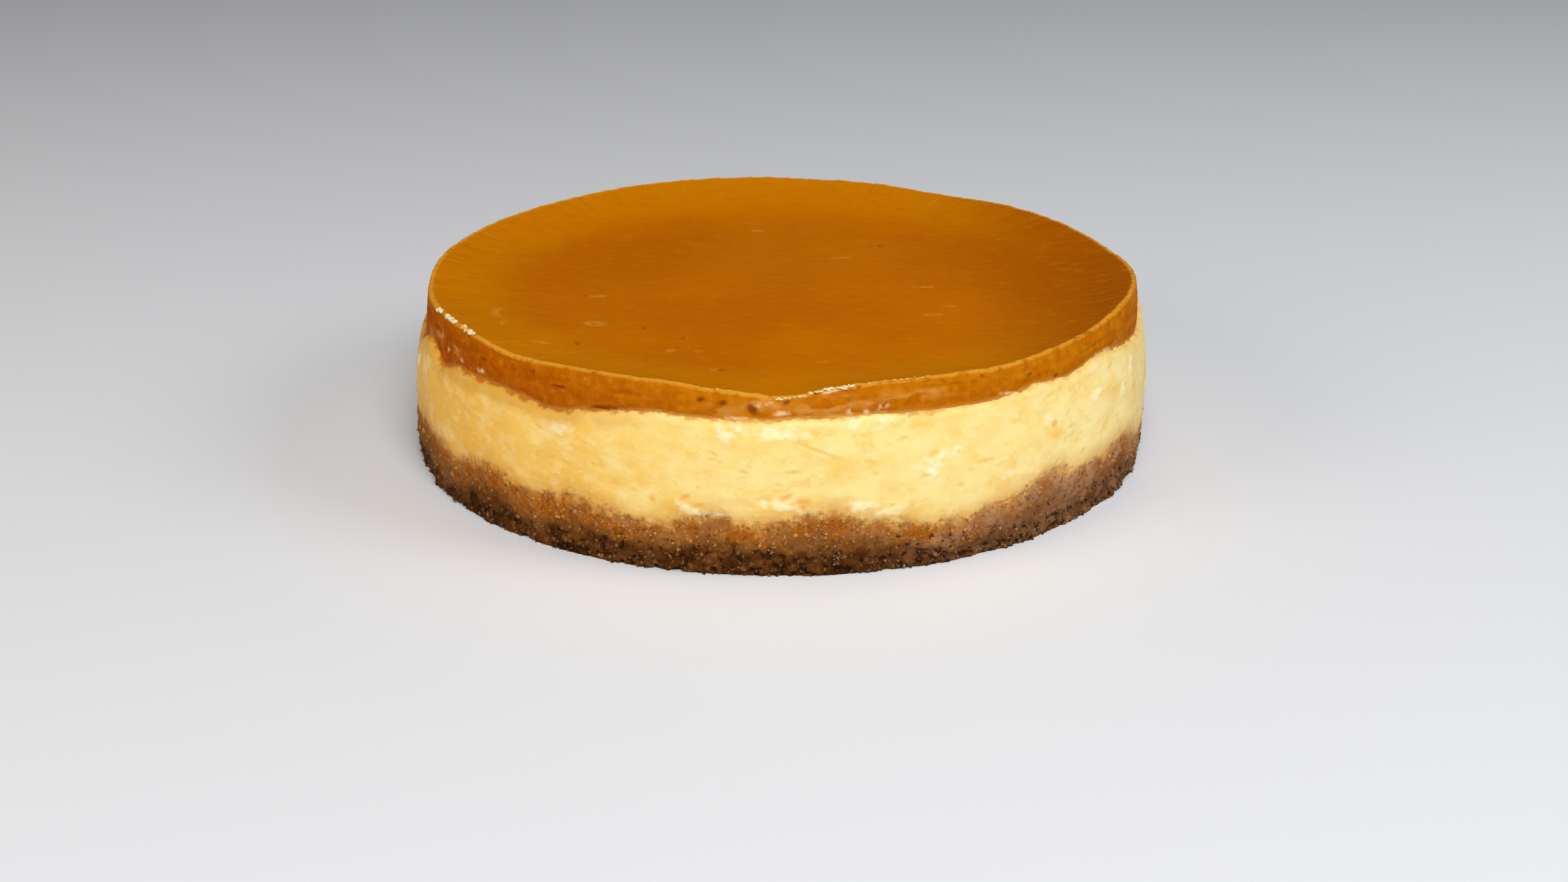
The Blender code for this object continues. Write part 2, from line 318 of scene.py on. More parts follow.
def picked(tree, cells, low, high):
    """Soft-edged crumbs: the cells whose random value lies from low to high or past it."""
    return times(tree, ramp(tree, cells[0], low, high), ramp(tree, cells[1], 0.62, 0.22))


def side_of(tree, place, start, end):
    """0 left of one place along X and 1 right of another, in mm. Turned round where start is the higher."""
    across = add_node(tree, "SeparateXYZ", {"Vector": place}).outputs[0]
    return ramp(tree, across, start * MM, end * MM)


def crumb_tone_group():
    """Colours of crumb soaked with butter and filling: orange-brown, with rosy tan patches and crumbs."""
    group, start, end = open_group("soaked crumb tone", ["Place"], ["Colour"])
    place = start["Place"]
    patches = noise_at(group, place, 130, 5)
    cells = cells_at(group, place, 760.0)
    rosy = mix_colour(group, side_of(group, place, 0, 90), (0.32, 0.125, 0.026), (0.40, 0.205, 0.100))
    orange = mix_colour(group, side_of(group, place, 30, 90), (0.35, 0.100, 0.007), (0.33, 0.130, 0.042))
    colour = mix_colour(group, ramp(group, patches, 0.38, 0.62), orange, rosy)
    colour = tint(group, colour, picked(group, cells, 0.60, 0.80), 0.6, (0.24, 0.050, 0.004))
    colour = tint(group, colour, picked(group, cells, 0.30, 0.15), 0.45, (0.54, 0.27, 0.085))
    group.links.new(colour, end["Colour"])
    return group


def filling_tone_group():
    """Baked cheese: gold with some painted shade on the left, cream yellow on the right, and tan by the
    crumb.
    """
    group, start, end = open_group("baked cheese tone", ["Place", "Over"], ["Colour"])
    place = start["Place"]
    mottle = noise_at(group, place, 75, 5, (1, 1, 1.7))
    clouds = noise_at(group, place, 120, 2)
    drift = noise_at(group, place, 26, 2)
    pale = mix_colour(group, ramp(group, drift, 0.38, 0.62), (0.86, 0.62, 0.18), (0.87, 0.69, 0.26))
    gold = mix_colour(group, ramp(group, drift, 0.38, 0.62), (0.83, 0.43, 0.050), (0.86, 0.52, 0.085))
    # Partly painted shade: the left side of the cheese is gold and darker than the right.
    colour = mix_colour(group, side_of(group, place, -105, -5), gold, pale)
    colour = tint(group, colour, side_of(group, place, 20, 75), 0.6, (0.88, 0.73, 0.31))
    colour = mix_colour(group, side_of(group, place, 92, 118), colour, (0.78, 0.57, 0.21))
    colour = mix_colour(group, side_of(group, place, -98, -120), colour, (0.66, 0.36, 0.055))
    colour = tint(group, colour, ramp(group, mottle, 0.50, 0.66), 0.5, (0.90, 0.73, 0.33))
    colour = tint(group, colour, ramp(group, mottle, 0.48, 0.32), 0.5, (0.83, 0.47, 0.07))
    colour = tint(group, colour, ramp(group, clouds, 0.44, 0.64), 0.3, (0.84, 0.53, 0.12))
    rubbed = noise_at(group, place, 190, 5, (1, 1, 1.4))
    colour = tint(group, colour, ramp(group, rubbed, 0.52, 0.62), 0.3, (0.90, 0.70, 0.31))
    colour = tint(group, colour, ramp(group, rubbed, 0.45, 0.34), 0.3, (0.80, 0.43, 0.06))
    tan = ramp(group, math_node(group, "ADD", start["Over"], times(group, clouds, 6.0)), 10.5, 2.0)
    colour = tint(group, colour, tan, 0.8, (0.65, 0.30, 0.048))
    group.links.new(colour, end["Colour"])
    return group


def seam_share_group():
    """0 in the crumb and 1 in the cheese, with a ragged edge where whole crumbs belong to one of them."""
    group, start, end = open_group("crumb and cheese seam", ["Place", "Over"], ["Share"])
    place = start["Place"]
    tone, middle = cells_at(group, place, 800.0)
    grain = times(group, math_node(group, "SUBTRACT", tone, 0.5), ramp(group, middle, 0.75, 0.3))
    over = wobbled(group, start["Over"], noise_at(group, place, 210, 4), 9)
    over = math_node(group, "ADD", over, times(group, grain, 3.4))
    group.links.new(ramp(group, over, -2.3, 2.7), end["Share"])
    return group


crumb_tone = crumb_tone_group()
filling_tone = filling_tone_group()
seam_share = seam_share_group()


def from_group(tree, group, **inputs):
    return add_node(tree, "Group", inputs, node_tree=group).outputs[0]


def crust_material():
    """Dark toasted crumb at the foot, a lighter soaked zone over it, and cheese rubbed over its top edge."""
    material, tree, shader = new_material(
        "toasted_biscuit_crumb", Roughness=0.65, Specular_IOR_Level=0.025, Coat_Roughness=0.08
    )
    place = object_place(tree)
    patches = noise_at(tree, place, 150, 4)
    drift = noise_at(tree, place, 40, 3)
    cells = cells_at(tree, place, 620.0)
    grain = noise_at(tree, place, 1400, 3)
    depth = wobbled(tree, mark_at(tree, "depth"), patches, 12.0)
    rise = wobbled(tree, wobbled(tree, mark_at(tree, "rise"), patches, 12.0), drift, 12.0)
    rise = math_node(tree, "ADD", rise, times(tree, side_of(tree, place, -45, -85), 1.6))
    right = side_of(tree, place, 15, 85)
    dark = mix_colour(tree, right, (0.048, 0.014, 0.002), (0.150, 0.058, 0.021))
    brown = mix_colour(tree, right, (0.125, 0.040, 0.008), (0.27, 0.120, 0.050))
    toasted = mix_colour(tree, ramp(tree, patches, 0.36, 0.64), dark, brown)
    rosy = mix_colour(tree, right, (0.22, 0.088, 0.022), (0.26, 0.120, 0.052))
    pressed = mix_colour(tree, ramp(tree, drift, 0.36, 0.64), (0.190, 0.060, 0.008), rosy)
    colour = mix_colour(tree, ramp(tree, rise, 6.0, 11.0), toasted, pressed)
    colour = mix_colour(tree, ramp(tree, depth, 9.0, 2.5), colour, from_group(tree, crumb_tone, Place=place))
    colour = tint(tree, colour, picked(tree, cells, 0.68, 0.88), 0.45, (0.36, 0.16, 0.045))
    colour = tint(tree, colour, picked(tree, cells, 0.40, 0.20), 0.5, (0.06, 0.018, 0.004))
    # Painted shade: small pits, made only by the bump, are darkened almost to black low on the crust.
    pits = ramp(tree, noise_at(tree, place, 480, 3), 0.58, 0.66)
    pits = times(tree, pits, ramp(tree, rise, 11.0, 6.0))
    colour = tint(tree, colour, pits, 0.85, (0.020, 0.006, 0.001))
    # Painted shade: where the relief sinks deepest, low on the crust, its hollows are darkened almost to
    # black.
    hollow_shade = times(tree, ramp(tree, mark_at(tree, "relief"), -0.4, -1.3), ramp(tree, rise, 9.0, 3.0))
    colour = tint(tree, colour, hollow_shade, 0.75, (0.030, 0.009, 0.002))
    over = times(tree, mark_at(tree, "depth"), -1.0)
    share = from_group(tree, seam_share, Place=place, Over=over)
    colour = mix_colour(tree, share, colour, from_group(tree, filling_tone, Place=place, Over=over))
    clusters = ramp(tree, noise_at(tree, place, 120, 2), 0.47, 0.60)
    clusters = times(tree, clusters, ramp(tree, share, 0.6, 0.1))
    glints = times(tree, ramp(tree, noise_at(tree, place, 1300, 1), 0.67, 0.73), clusters)
    # Painted highlight: the glints are also pale specks in the base colour, under the clear coat.
    colour = tint(tree, colour, glints, 0.5, (0.66, 0.46, 0.28))
    feed(tree, colour, shader, "Base Color")
    feed(tree, glints, shader, "Coat Weight")
    height = math_node(tree, "SUBTRACT", times(tree, grain, 0.8), cells[1])
    height = math_node(tree, "SUBTRACT", height, times(tree, pits, 2.0))
    bump_feed(tree, height, shader, 0.4 * MM, 0.8)
    return material


crust.data.materials.append(crust_material())
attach(crust, "root")
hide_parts("biscuit_base")


# Baked cheese wall
# The filling is soft baked cream cheese. Its wall has kept the marks of the tin and of the knife that freed
# it: faint level scrapes, pores and short cracks. It is a sleeve too, and its foot reaches down behind the
# crust's torn edge, so that the two run into each other.

CHEESE_WALL_ROWS = 62
CHEESE_EDGE_INSET = 3.8 * MM
CHEESE_LAP = 3.0 * MM
CHEESE_LAP_INSET = 0.9 * MM
CHEESE_SUNK_TOP = 3.0 * MM
CHEESE_LIP = 4.0 * MM
HIDDEN_RINGS = np.array([0.3, 0.8])
SHOULDER_START = 0.55
SHOULDER_INSET = 0.7 * MM
EDGE_START = 0.93
EDGE_INSET = 1.0 * MM
SIDE_INSET = 0.55 * MM
EDGE_RAGGED = 0.55 * MM
RAG_LENGTH = 3.5 * MM
FINE_RAG_LENGTH = 1.6 * MM
STRETCH_LENGTH = 28.0 * MM
WAVE_LENGTH = 18.0 * MM
WAVE_DEPTH = 0.4 * MM
SMEAR_HEIGHT = 3.2 * MM
FINE_SMEAR_HEIGHT = 1.5 * MM
SMEAR_DEPTH = 0.14 * MM
SMEAR_PROUD = 0.25 * MM
PORE_DEPTH = 0.28 * MM
PORE_SPACING = 7 * MM
NICKS = 80
FRONT_START = 18.0 * MM
FRONT_END = 48.0 * MM

# Where the cheese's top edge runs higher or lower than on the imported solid: an angle and half a width in
# degrees, and how much higher in mm.
EDGE_SWELLS = [(34, 8, -1.2), (54, 6, 0.8), (-24, 8, -0.7)]

# Each mark is an angle from the front in degrees, its height on the cake, half its length and half its width
# in mm, and its climb, which is its rise for each mm along the wall.
CREAM_SMEARS = [
    (-13, 20, 2.2, 1.1, -0.3), (-10, 18.4, 4.6, 1, -0.1), (0.5, 21.2, 4.2, 1.3, -0.1),
    (3.6, 19.6, 2.6, 0.9, 0), (11, 20.8, 5, 1.4, 0), (15, 18.6, 3, 1, 0.1), (-0.2, 41.6, 7.5, 1.5, 0),
    (-7.6, 41.4, 4, 1.6, -0.3), (-5.8, 43, 1.5, 1.4, 0), (10, 44.6, 2, 2, 0), (14, 44, 2.6, 1.6, 0.1),
    (21, 29.6, 3.2, 2.6, 0.1), (24, 33, 3, 1.4, 0.2), (41, 35.8, 2.2, 1.6, 0), (52, 37, 4, 1.2, 0.2),
    (33, 23, 3, 1, 0), (65, 38.5, 2, 2.6, 0.4), (61, 33.5, 1.6, 2, 0.2), (52, 44.6, 3, 0.9, 0.1),
    (-32, 37, 3.2, 1.6, 0.1),
]
BROWNED_SPOTS = [
    (-12.9, 22.8, 1.3, 0.7, 0.5), (-10.8, 21, 1.3, 0.5, 0.2), (1, 24.2, 1.5, 0.7, 0.4),
    (3.2, 22.4, 1.6, 0.6, 0.1), (15.4, 20.2, 0.9, 0.5, 0), (9, 20, 1.2, 0.5, -0.2), (42.2, 34.2, 1, 0.7, 0),
    (-17.5, 21.2, 0.8, 1, 0),
]
CRACKS = [
    (4.8, 37, 5, 0.5, -0.42), (1.8, 30.9, 2.2, 0.4, 0.05), (29.5, 28.5, 2.5, 0.45, -0.1),
    (36.6, 43.4, 1.2, 0.7, 0), (17, 38.4, 1.6, 0.5, 0.1), (-9, 35.6, 1.2, 0.4, -0.5),
    (-31, 27, 1.6, 0.5, -0.3), (20, 27.2, 1.8, 0.5, 0.2), (-5, 31, 1.2, 0.4, -0.2),
    (12, 33, 1.4, 0.4, -0.3), (46, 31, 1.6, 0.5, 0), (41.5, 42, 2, 0.5, 0.3), (44, 42.8, 1, 0.7, 0),
    (-36, 35.5, 1.6, 0.4, -0.2), (31.5, 43.6, 1.6, 0.5, 0.1), (57.5, 43, 2.2, 0.6, 0.5),
]
BACK_START = 72
BACK_END = 288


def behind(marks, count, seed):
    """The same kinds of mark, strewn over the sides and back."""
    draw = random.Random(seed)
    kinds = [draw.choice(marks) for _ in range(count)]
    return [
        (draw.uniform(BACK_START, BACK_END), height + draw.uniform(-4, 4), length, tall, climb)
        for _, height, length, tall, climb in kinds
    ]


def nicks(count, seed):
    """Short level nicks all round, as a knife leaves in cream cheese."""
    draw = random.Random(seed)
    return [
        (draw.uniform(-180, 180), draw.uniform(19, 42), draw.uniform(0.5, 1.3), draw.uniform(0.22, 0.36), 0)
        for _ in range(count)
    ]


def marked(heights, marks, ragged):
    """How far each point of a wall lies inside one of the marks, from 0 to 1."""
    share = np.zeros_like(heights)
    for angle, height, length, tall, climb in marks:
        turn = (column_angles - math.radians(angle) + math.pi) % (2 * math.pi) - math.pi
        along = turn * CAKE_RADIUS / MM
        up = heights / MM - height - climb * along
        share = np.maximum(share, np.clip(1.5 - np.hypot(along / length, up / tall) + 0.7 * ragged, 0, 1))
    return share


def raggedness(points, shape, layer):
    """Uneven bumps of two lengths, for edges and marks that look torn."""
    return bumps(points, shape, RAG_LENGTH, layer) + 0.6 * bumps(points, shape, FINE_RAG_LENGTH, layer + 1)


cheese_crest = solid_height("cheese_layer", CAKE_RADIUS - CHEESE_EDGE_INSET)
for angle, width, swell in EDGE_SWELLS:
    turn = (np.degrees(column_angles) - angle + 180) % 360 - 180
    cheese_crest = cheese_crest + swell * MM * np.exp(-((turn / width) ** 2))
share = np.linspace(0, 1, CHEESE_WALL_ROWS)[:, None]
cheese_foot = crust_crest - CHEESE_LAP
wall_heights = cheese_foot + share * (cheese_crest - cheese_foot)
shoulder = np.clip((share - SHOULDER_START) / (1 - SHOULDER_START), 0, 1) ** 2
edge = np.clip((share - EDGE_START) / (1 - EDGE_START), 0, 1) ** 2
side_inset = SIDE_INSET * np.sin(column_angles) ** 2
wall_radii = wall_radius(wall_heights) - (SHOULDER_INSET + side_inset) * shoulder
wall_radii = wall_radii - (EDGE_INSET + side_inset) * edge
points = on_wall(wall_radii, wall_heights)
shape = wall_radii.shape
ragged = raggedness(points, shape, 14)
lapped = np.clip((crust_crest - wall_heights) / CHEESE_LAP + 0.35 + 0.5 * ragged, 0, 1)
wall_radii = wall_radii - CHEESE_LAP_INSET * lapped


def drawn_out(points, shape, length, stretch, layer):
    """Bumps drawn out level round the wall, so many times as long as they are tall."""
    values = []
    for p in points:
        angle = math.atan2(p.x, -p.y)
        across = Vector((math.sin(angle), math.cos(angle), 0)) * (CAKE_RADIUS / length / stretch)
        values.append(noise.noise(across + Vector((0, 0, p.z / length + layer * 10.0))))
    return np.array(values).reshape(shape)


def pores(points, shape, spacing, layer, size=0.2):
    """Small round holes, from 0 on the wall to 1 at the bottom of a hole."""
    shift = Vector((0, 0, layer * 10.0))
    values = []
    for p in points:
        distances, centres = noise.voronoi(p / spacing + shift)
        hole = size * (0.2 + noise.cell(centres[0] * 5.1))
        values.append(max(0.0, 1 - (distances[0] / hole) ** 2))
    return np.array(values).reshape(shape)


waves = bumps(points, shape, WAVE_LENGTH, 4)
fine_smears = drawn_out(points, shape, FINE_SMEAR_HEIGHT, 1.8, 6)
smears = drawn_out(points, shape, SMEAR_HEIGHT, 2.2, 5) + 0.7 * fine_smears
creamed = marked(wall_heights, CREAM_SMEARS + behind(CREAM_SMEARS, 26, 3), ragged)
browned = marked(wall_heights, BROWNED_SPOTS + behind(BROWNED_SPOTS, 14, 4), ragged)
cracked = marked(wall_heights, CRACKS + behind(CRACKS, 14, 5) + nicks(NICKS, 12), 0.4 * ragged)
pitted = np.maximum(cracked, pores(points, shape, PORE_SPACING, 7))
wall_radii = (
    wall_radii + WAVE_DEPTH * waves + SMEAR_DEPTH * smears
    + SMEAR_PROUD * creamed * (0.4 + fine_smears) - PORE_DEPTH * pitted
)
stretches = np.clip(0.5 + 1.6 * bumps(points, shape, STRETCH_LENGTH, 19), 0.1, 1)
wall_heights = wall_heights + EDGE_RAGGED * edge * 2 * ragged * stretches
inner_radii = HIDDEN_RINGS[:, None] * np.full(COLUMNS, CAKE_RADIUS)
sunk_top = np.full((2, COLUMNS), cheese_crest.min() - CHEESE_SUNK_TOP)
cheese_radii = np.concatenate((inner_radii, wall_radii, wall_radii[-1:] - CHEESE_LIP, inner_radii[::-1]))
cheese_heights = np.concatenate((np.tile(cheese_foot, (2, 1)), wall_heights, wall_heights[-1:], sunk_top))


def on_rings(values, before, after):
    """A wall's values, with none on the rings that come before and after it."""
    return np.pad(values, ((before, after), (0, 0))) * MM


cheese = sleeve("cheese_wall", len(cheese_radii))
lay_rings(
    cheese, cheese_radii, cheese_heights,
    rise=cheese_heights - crust_crest, depth=cheese_crest - cheese_heights,
    cream=on_rings(creamed, 2, 3), brown=on_rings(browned, 2, 3), pit=on_rings(pitted, 2, 3),
)


def near_front(tree, place):
    """1 close to the middle of the cake along X, and 0 past FRONT_END on either side."""
    across = math_node(tree, "ABSOLUTE", add_node(tree, "SeparateXYZ", {"Vector": place}).outputs[0])
    return ramp(tree, across, FRONT_END, FRONT_START)


def cheese_material():
    """Pale yellow baked cheese, with whiter smears where it is scraped, and crumb showing at its foot."""
    material, tree, shader = new_material(
        "baked_cream_cheese", Roughness=0.5, Specular_IOR_Level=0.14, Subsurface_Weight=0.15,
        Subsurface_Scale=2.0 * MM, Subsurface_Radius=(1.0, 0.55, 0.2),
    )
    place = object_place(tree)
    mottle = noise_at(tree, place, 80, 5, (1, 1, 2))
    flecks = noise_at(tree, place, 300, 4, (1, 1, 1.6))
    colour = from_group(tree, filling_tone, Place=place, Over=mark_at(tree, "rise"))
    cream = times(tree, mark_at(tree, "cream"), ramp(tree, flecks, 0.30, 0.64))
    colour = tint(tree, colour, cream, 0.8, (0.93, 0.86, 0.56))
    fine_cream = times(tree, ramp(tree, flecks, 0.54, 0.70), side_of(tree, place, -170, 0))
    colour = tint(tree, colour, fine_cream, 0.3, (0.90, 0.76, 0.38))
    colour = tint(tree, colour, ramp(tree, flecks, 0.34, 0.24), 0.3, (0.74, 0.44, 0.06))
    # Painted shade: the pores, nicks and cracks are tinted a darker ochre.
    colour = tint(tree, colour, mark_at(tree, "pit"), 0.5, (0.72, 0.44, 0.055))
    colour = tint(tree, colour, mark_at(tree, "brown"), 0.7, (0.76, 0.35, 0.045))
    under = wobbled(tree, mark_at(tree, "depth"), mottle, 9.0)
    # Darker gold in the top few mm of the cheese, on its left side only.
    stained = times(tree, ramp(tree, under, 5.5, 1.0), side_of(tree, place, -20, -70))
    colour = tint(tree, colour, stained, 0.8, (0.66, 0.33, 0.042))
    yellowed = times(tree, ramp(tree, under, 5.0, 0.5), side_of(tree, place, 30, 60))
    colour = tint(tree, colour, yellowed, 0.5, (0.80, 0.56, 0.17))
    torn = ramp(tree, wobbled(tree, mark_at(tree, "depth"), flecks, 4.5), 0.8, -0.2)
    torn = times(tree, torn, ramp(tree, side_of(tree, place, 15, 55), 1.5, 0.0))
    edge_tone = mix_colour(tree, near_front(tree, place), (0.50, 0.16, 0.008), (0.70, 0.38, 0.09))
    colour = mix_colour(tree, torn, colour, edge_tone)
    share = from_group(tree, seam_share, Place=place, Over=mark_at(tree, "rise"))
    colour = mix_colour(tree, share, from_group(tree, crumb_tone, Place=place), colour)
    feed(tree, colour, shader, "Base Color")
    _, middle = cells_at(tree, place, 620.0)
    crumbly = times(tree, math_node(tree, "SUBTRACT", 1.0, middle), ramp(tree, share, 0.9, 0.2))
    height = math_node(tree, "ADD", math_node(tree, "ADD", mottle, times(tree, flecks, 0.5)), crumbly)
    bump_feed(tree, height, shader, 0.5 * MM, 0.7)
    return material


cheese.data.materials.append(cheese_material())
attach(cheese, "root")
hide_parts("cheese_layer")


# Pumpkin layer
# A smooth pumpkin filling was poured over the cheese and baked. It climbed the tin's wall and sank in the
# middle as it cooled, which left a dish with a thin, uneven rim. One sleeve makes its wall, rim and dish.

PUMPKIN_WALL_ROWS = 24
PUMPKIN_RIM_SAMPLE = 2.4 * MM
PUMPKIN_RIM_INSET = 3.9 * MM
PUMPKIN_FOOT_INSET = 2.1 * MM
PUMPKIN_SIDE_INSET = 0.8 * MM
PUMPKIN_LAP = 0.8 * MM
RIM_ROUND = 0.6 * MM
RIM_ROUND_WIDTH = 1.2 * MM
RIM_RAGGED = 0.28 * MM
RIM_RAG_LENGTH = 4.0 * MM
FINE_RIM_RAG_LENGTH = 1.5 * MM
DISH_WIDTH = 48.0 * MM
DISH_CURVE = 2.3
DISH_MIDDLE = 10.0 * MM
DISH_SWELL = 0.3 * MM
DISH_SWELL_LENGTH = 28.0 * MM
DISH_RIPPLE = 0.05 * MM
DISH_RIPPLE_LENGTH = 5.0 * MM
WALL_RIPPLE = 0.18 * MM
BUBBLE_DEPTH = 0.3 * MM
BUBBLE_SPACING = 6.0 * MM
PIT_DEPTH = 0.55 * MM
CREASE_DEPTH = 0.4 * MM
CREAM_PROUD = 0.1 * MM

# Dents in the pumpkin's wall, in the same form as the cheese's marks. Their dark red-brown is painted shade,
# and the long one at -25.5 degrees is a painted shadow line along the layer's foot.
PITS_AND_SHADOW_LINE = [
    (-11, 49.4, 0.9, 0.6, 0.3), (-8, 48.6, 1.7, 0.7, 0.1), (-3.8, 47.4, 1.1, 1, -0.4),
    (1, 49.2, 1, 0.6, 0.3), (-68, 47.8, 0.8, 0.6, 0), (-38.7, 49.4, 1.1, 0.5, 0.1), (68, 50.4, 0.7, 0.7, 0),
    (30, 51.5, 0.5, 0.3, 0), (38.5, 48.8, 0.8, 0.4, 0.2), (40.4, 48, 0.5, 0.3, 0), (44, 46.2, 0.8, 0.5, 0),
    (48.8, 45.2, 1.8, 0.5, 0), (-25.5, 43.9, 5, 0.6, 0.15), (-50, 48, 2, 0.3, 0),
    (-33, 47.4, 2.2, 0.3, 0.1),
]
CREASES = [
    (24, 50.7, 8.5, 0.6, -0.04), (-20, 49, 7, 0.5, 0.05), (-46, 50.6, 7, 0.5, 0), (54, 50, 6, 0.5, 0.05),
]
CREAM_RUBS = [
    (1.4, 50.7, 2.6, 0.35, 0.05), (7.8, 52.3, 5.6, 0.5, 0.09), (-2.2, 48.8, 2.4, 0.4, 0.2),
    (0.3, 46.4, 2, 0.5, 0.1), (14.6, 47.6, 1.5, 0.7, 0.4), (9.7, 46.6, 1, 0.9, 0), (-6, 44.9, 2.6, 0.6, 0),
    (12, 46.2, 0.8, 0.7, 0), (-62, 44.4, 1.4, 0.6, 0), (-56, 44.4, 1.2, 0.5, 0), (-50, 44.6, 1.6, 0.6, 0),
    (-64.5, 46.6, 0.5, 1.3, 0), (34.5, 45.4, 2.6, 0.4, -0.1), (39.5, 45.6, 1.6, 0.4, 0.1),
    (57, 47, 3.6, 0.5, -0.05), (61.5, 46.6, 1.4, 0.5, 0.1),
]
PEACH_RUBS = [
    (-7.7, 46.8, 3.6, 1.8, -0.2), (-2, 49, 7, 1.4, 0.1), (7, 48.6, 8, 2, 0.05), (15, 48.8, 9, 1.8, 0),
    (21, 49.6, 7, 1.2, 0), (4, 47, 4, 1.4, 0), (-66, 47.2, 3, 1.8, 0), (-58, 46.6, 3, 1.4, 0),
]


def dish_share(inwards):
    """Share of the rim's height above the dish that is left this far inside it."""
    return (1 - np.clip(inwards / DISH_WIDTH, 0, 1)) ** DISH_CURVE


rim_radius = CAKE_RADIUS - PUMPKIN_RIM_INSET
flat_height = solid_height("pumpkin_layer", DISH_MIDDLE).mean()
near_rim = solid_height("pumpkin_layer", rim_radius - PUMPKIN_RIM_SAMPLE)
rim_crest = flat_height + (near_rim - flat_height) / dish_share(PUMPKIN_RIM_SAMPLE)
rim_place = [round_place(angle, CAKE_RADIUS, 0) for angle in column_angles]
fine_rags = 0.7 * bumps(rim_place, COLUMNS, FINE_RIM_RAG_LENGTH, 22)
rim_crest = rim_crest + RIM_RAGGED * (bumps(rim_place, COLUMNS, RIM_RAG_LENGTH, 21) + fine_rags)
pumpkin_foot = cheese_crest - PUMPKIN_LAP
foot_radius = CAKE_RADIUS - PUMPKIN_FOOT_INSET - PUMPKIN_SIDE_INSET * np.sin(column_angles) ** 2
share = np.linspace(0, 1, PUMPKIN_WALL_ROWS)[:, None]
wall_heights = pumpkin_foot + share * (rim_crest - RIM_ROUND - pumpkin_foot)
leaning = LEAN * np.sin(column_angles) * wall_heights / CAKE_HEIGHT
wall_radii = foot_radius + share ** 2 * (rim_radius - foot_radius) + leaning
points = on_wall(wall_radii, wall_heights)
shape = wall_radii.shape
ragged = raggedness(points, shape, 17)
pitted = marked(wall_heights, PITS_AND_SHADOW_LINE + behind(PITS_AND_SHADOW_LINE, 14, 6), ragged)
creased = marked(wall_heights, CREASES + behind(CREASES, 6, 9), 0.5 * ragged)
creamed = marked(wall_heights, CREAM_RUBS + behind(CREAM_RUBS, 10, 7), ragged)
peachy = marked(wall_heights, PEACH_RUBS + behind(PEACH_RUBS, 6, 8), ragged)
wall_radii = (
    wall_radii
    + WALL_RIPPLE * drawn_out(points, shape, 2.2 * MM, 3, 8)
    + WALL_RIPPLE * bumps(points, shape, 2.5 * MM, 9)
    - BUBBLE_DEPTH * pores(points, shape, BUBBLE_SPACING, 10)
    - PIT_DEPTH * pitted - CREASE_DEPTH * creased + CREAM_PROUD * creamed * (0.5 + ragged)
)
rim_inwards = np.array([0.15, 0.45, 0.8, 1.2, 1.7, 2.3, 3.0])[:, None] * MM
dish_inwards = np.concatenate((rim_inwards, np.geomspace(3.9 * MM, rim_radius - 1 * MM, 40)[:, None]))
rounding = np.clip(1 - dish_inwards / RIM_ROUND_WIDTH, 0, 1) ** 2 * RIM_ROUND
dish_heights = flat_height + (rim_crest - flat_height) * dish_share(dish_inwards) - rounding
dish_lean = LEAN * np.sin(column_angles) * np.clip(1 - dish_inwards / DISH_WIDTH, 0, 1)
dish_radii = rim_radius - dish_inwards + dish_lean
points = on_wall(dish_radii, dish_heights)
dish_heights = dish_heights + DISH_SWELL * bumps(points, dish_radii.shape, DISH_SWELL_LENGTH, 11)
dish_heights = dish_heights + DISH_RIPPLE * bumps(points, dish_radii.shape, DISH_RIPPLE_LENGTH, 12)
under_heights = np.full((2, COLUMNS), pumpkin_foot.min())
pumpkin_radii = np.concatenate((inner_radii, wall_radii, dish_radii))
pumpkin_heights = np.concatenate((under_heights, wall_heights, dish_heights))
outside = np.full((2 + PUMPKIN_WALL_ROWS, COLUMNS), -1 * MM)
inwards = np.concatenate((outside, dish_inwards + np.zeros(COLUMNS)))
inside_rows = len(dish_radii)
pumpkin = sleeve("pumpkin_top", len(pumpkin_radii))
lay_rings(
    pumpkin, pumpkin_radii, pumpkin_heights,
    rise=pumpkin_heights - cheese_crest, depth=rim_crest - pumpkin_heights, inwards=inwards,
    cream=on_rings(creamed, 2, inside_rows), peach=on_rings(peachy, 2, inside_rows),
    pit=on_rings(pitted, 2, inside_rows),
)


def spot_group():
    """A soft-edged spot on the top of the cake: 1 in its middle and 0 past its reach."""
    group, start, end = open_group("spot", ["Place", "Centre", "Reach", "Wobble"], ["Share"])
    away = add_node(group, "VectorMath", {0: start["Place"], 1: start["Centre"]}, operation="SUBTRACT")
    away = add_node(group, "VectorMath", {0: away.outputs[0], 1: start["Reach"]}, operation="DIVIDE")
    far = add_node(group, "VectorMath", {0: away.outputs[0]}, operation="LENGTH").outputs["Value"]
    far = math_node(group, "ADD", far, start["Wobble"])
    group.links.new(ramp(group, far, 1.15, 0.6), end["Share"])
    return group


spot = spot_group()


def spots_at(tree, place, wobble, spots):
    """All of a list of spots. Each is a place on the top and its half width and half depth, in mm."""
    share = 0.0
    for x, y, wide, deep in spots:
        centre, reach = (x * MM, y * MM, 0), (wide * MM, deep * MM, 1)
        one = from_group(tree, spot, Place=place, Wobble=wobble, Centre=centre, Reach=reach)
        share = math_node(tree, "MAXIMUM", one, share)
    return share


